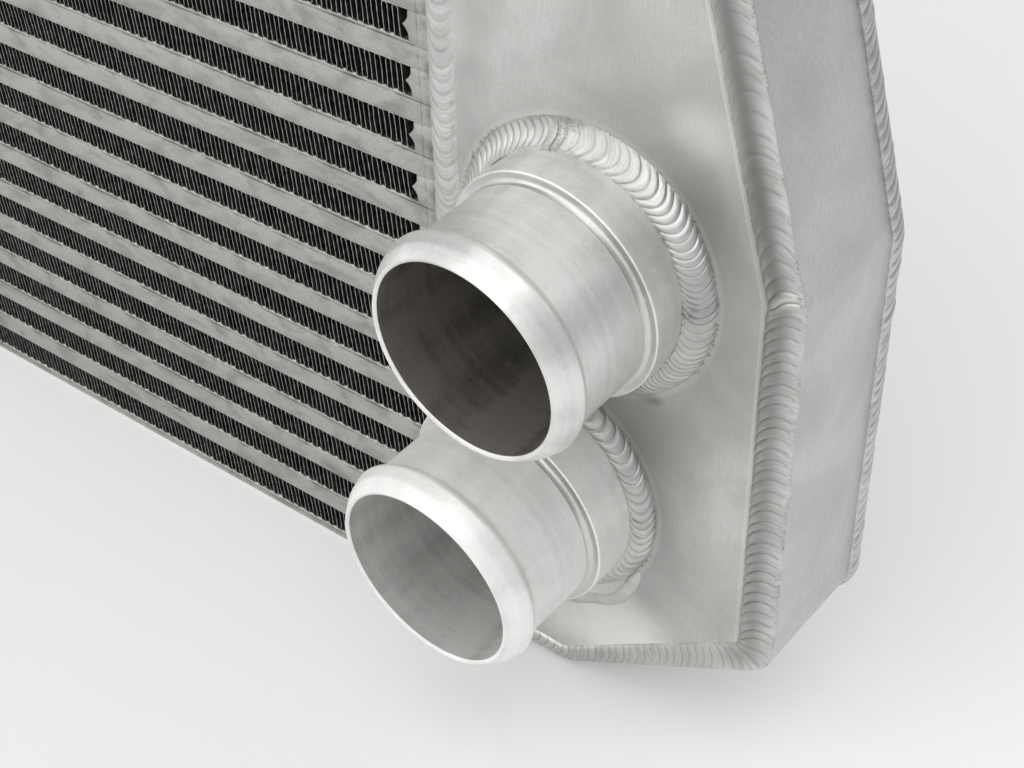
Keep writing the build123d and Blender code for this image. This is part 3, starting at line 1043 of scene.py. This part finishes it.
upperWeld = {
    "leg": 6.4,
    "rise": 5.0,
    "lift": 0.1,  # the upper edge's clearance from the collar
    "first": 152,  # degrees clockwise from the top, seen from the front
    "sweep": 366,
    # Stations in degrees from the first: the start's overlap is at 196, the top right at 258
    "at": np.array(
        [0, 30, 140, 190, 196, 201, 208, 232, 246, 258, 275, 288, 292, 300, 320, 345, 366]
    ) / 366,
    "pitch": [3.0, 2.6, 2.4, 2.2, 2.5, 3.2, 3.8, 2.7, 2.5, 2.4, 2.1, 1.6, 2.0, 2.8, 1.8, 1.6, 1.6],
    "depth": [
        0.2, 0.2, 0.2, 0.22, 0.45, 0.12, 0.12, 0.18, 0.24, 0.24, 0.2, 0.18, 0.28, 0.08, 0.14,
        0.17, 0.15,
    ],
    "crown": [0.5, 0.7, 0.7, 0.7, 1.1, 0.5, 0.5, 0.6, 0.8, 0.8, 0.7, 0.7, 0.85, 0.5, 0.6, 0.6, 0.4],
    "bow": [2.4, 2.6, 2.4, 2.4, 2.6, 2.6, 3.2, 3.0, 2.8, 2.8, 2.6, 2.4, 2.4, 2.4, 2.2, 2.0, 2.0],
    "rough": [0, 0, 0, 0.01, 0.02, 0.04, 0.02, 0, 0, 0, 0, 0, 0.03, 0.02, 0.005, 0.01, 0.02],
    "soot": [0.3, 0, 0, 0.1, 0.5, 0.35, 0.1, 0, 0, 0, 0, 0.1, 0.45, 0.15, 0, 0.1, 1.0],
    "shade": [0, 0, 0, 0, 0.2, 0.2, 0.1, 0, 0, 0, 0.3, 0.45, 0.5, 0.35, 0.15, 0.1, 0.4],
    "taper": 6.0,
    "toeSoot": 0.6,
    "ragged": 0.05,
    "seed": 31,
}
lowerWeld = {
    "leg": 5.0,
    "rise": 4.6,
    "lift": 0.1,
    "first": 168,
    "sweep": 352,
    "at": np.array([0, 180, 215, 260, 300, 330, 340, 352]) / 352,
    "pitch": [2.8, 3.4, 4.2, 2.8, 2.9, 2.8, 4.0, 5.0],
    "depth": [0.3, 0.3, 0.34, 0.24, 0.26, 0.22, 0.3, 0.3],
    "crown": [0.8, 0.8, 0.8, 0.7, 0.7, 0.6, 0.5, 0.4],
    "bow": [2.8, 2.8, 3.2, 2.8, 2.6, 2.4, 2.4, 2.4],
    "shade": [0, 0.2, 0.5, 0.25, 0, 0, 0, 0],
    "taper": 6.0,
    "toeSoot": 0.3,
    "ragged": 0.05,
    "seed": 32,
}
weldLip = {
    # Ridge left where the torch ran off the lower weld on to the plate: its path in X and Z
    "path": [
        (196.0, 25.7), (205.7, 31.5), (211.4, 34.1), (215.0, 37.4), (217.9, 42.2), (221.2, 50.6),
    ],
    "bends": [2, 6, 8, 5, 5, 2],
    "width": 3.7,
    "pitch": 1.3,
    "depth": 0.02,
    "crown": 0.75,
    "bow": 0.8,
    "columns": 15,
    "taper": 7.0,
    "grooveShadeStrength": 0.2,
    "seed": 33,
}


def stubWeldRail(place, look):
    # Fillet bead: one edge on the tank's face, the other on the collar
    x, z, _ = place
    base = np.array([x, core["front"], z])
    a = np.radians(look["first"] + np.linspace(0, look["sweep"], 400))
    direction = spots(np.sin(a), 0, np.cos(a))
    left = base + direction * (stub["collar"] + look["leg"])
    right = base + direction * (stub["collar"] + look["lift"]) + axis * look["rise"]
    return measured(left, right, unit(direction * look["rise"] + np.array([0, -look["leg"], 0])))


def lipRail(look):
    # The path's rounded line, with an edge half the width to each side of it
    points, aside = roundedLine(look["path"], look["bends"])
    half = aside * 0.5 * look["width"]
    return frontRail(points + half, points - half, 1)


hoseStub("upper_stub", stub["upper"], stubMetal, upperBoreMetal)
# the lower stub in the paler metal, painted light
hoseStub("lower_stub", stub["lower"], paintedLightStubMetal, lowerBoreMetal)
bead("upper_stub_weld", stubWeldRail(stub["upper"], upperWeld), upperWeld)
ring, values = rippledBead(stubWeldRail(stub["lower"], lowerWeld), lowerWeld)
lip, lipValues = rippledBead(lipRail(weldLip), weldLip)
values = {key: np.concatenate([values[key], lipValues[key]]) for key in values}
name = "lower_stub_weld"
makePiece(name + "_rippled", [ring, lip], [beadMetal], [name], 60, values)
print("stubs made")

# Of the CAD nodes that are shown, all but these two are plain sheet
finishes = {"top_side_plate": plateMetal, "stub_tank_front_plate": platedMetal}
for name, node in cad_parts.items():
    node.data.materials.clear()
    node.data.materials.append(finishes.get(name, sheetMetal))

studio = {
    "floor": "#F2F2F2",
    "floorHalf": 3.0,  # half the floor's width in metres
    "floorDrop": 0.0002,  # below the object's underside
    "world": 0.42,
    "glow": 0.1,
    "lens": 65.24,
    "boxes": {  # place, what it points at, width and height in metres, power in watts
        "overhead box": ((0.4, -0.5, 2.1), (0.2, 0, 0.12), 2.1, 1.6, 13.2),
        "back box": ((0.95, 1.3, 1.5), (0.2, 0, 0.15), 2.2, 1.7, 7.6),
        "front box": ((-0.11, -1.92, 1.19), (0.2, -0.05, 0.13), 3.6, 1.95, 26.8),
        "left box": ((-2.2, -0.82, 0.68), (0.15, -0.1, 0.1), 2.7, 1.45, 9.0),
    },
}


def makeFloor():
    # White paper that glows a little for the eye and in reflections, and takes the shadow
    x, y = studio["floorHalf"] * np.array([[-1, 1, 1, -1], [-1, -1, 1, 1]])
    mesh = bpy.data.meshes.new("paper_floor")
    mesh.from_pydata(spots(x, y, -studio["floorDrop"]), [], [(0, 1, 2, 3)])
    paper = bpy.data.materials.new("white paper")
    paper.use_nodes = True
    shader = paper.node_tree.nodes["Principled BSDF"]
    fillInputs(shader, {"Base Color": linear(studio["floor"]), "Roughness": 0.9})
    seen = addNode(paper, "LightPath", {}, output="Is Camera Ray")
    for ray in ("Is Glossy Ray", "Is Transmission Ray"):
        other = addNode(paper, "LightPath", {}, output=ray)
        seen = addNode(paper, "Math", {0: seen, 1: other}, maximum)
    glow = addNode(paper, "Math", {0: seen, 1: studio["glow"]}, multiply)
    fillInputs(shader, {"Emission Color": (1, 1, 1, 1), "Emission Strength": glow})
    mesh.materials.append(paper)
    newObject("paper_floor", mesh)


def softbox(name, place, target, width, height, power):
    lamp = bpy.data.lights.new(name, "AREA")
    lamp.shape = "RECTANGLE"
    lamp.size, lamp.size_y, lamp.energy = width, height, power
    holder = newObject(name, lamp)
    holder.location = place
    holder.rotation_euler = (Vector(target) - Vector(place)).to_track_quat("-Z", "Y").to_euler()


def makeCamera():
    # Its right, up and back, then its place in metres
    right = (0.7883766549, 0.6149415257, -0.0175832274)
    up = (-0.3749175612, 0.5029254917, 0.7787828787)
    back = (0.4877489849, -0.6073819801, 0.6270470939)
    place = (0.4162, -0.3169, 0.3990)
    camera = bpy.data.cameras.new("camera")
    camera.lens = studio["lens"]
    camera.clip_start = 0.01
    holder = newObject("camera", camera)
    holder.matrix_world = Matrix([*zip(right, up, back, place), (0, 0, 0, 1)])
    bpy.context.scene.camera = holder


world = bpy.data.worlds.new("studio")
world.use_nodes = True
background = world.node_tree.nodes["Background"]
fillInputs(background, {"Color": (1, 1, 1, 1), "Strength": studio["world"]})
bpy.context.scene.world = world
makeFloor()
for name, box in studio["boxes"].items():
    softbox(name, *box)
makeCamera()
bpy.context.scene.view_settings.view_transform = "Standard"
print("studio made")
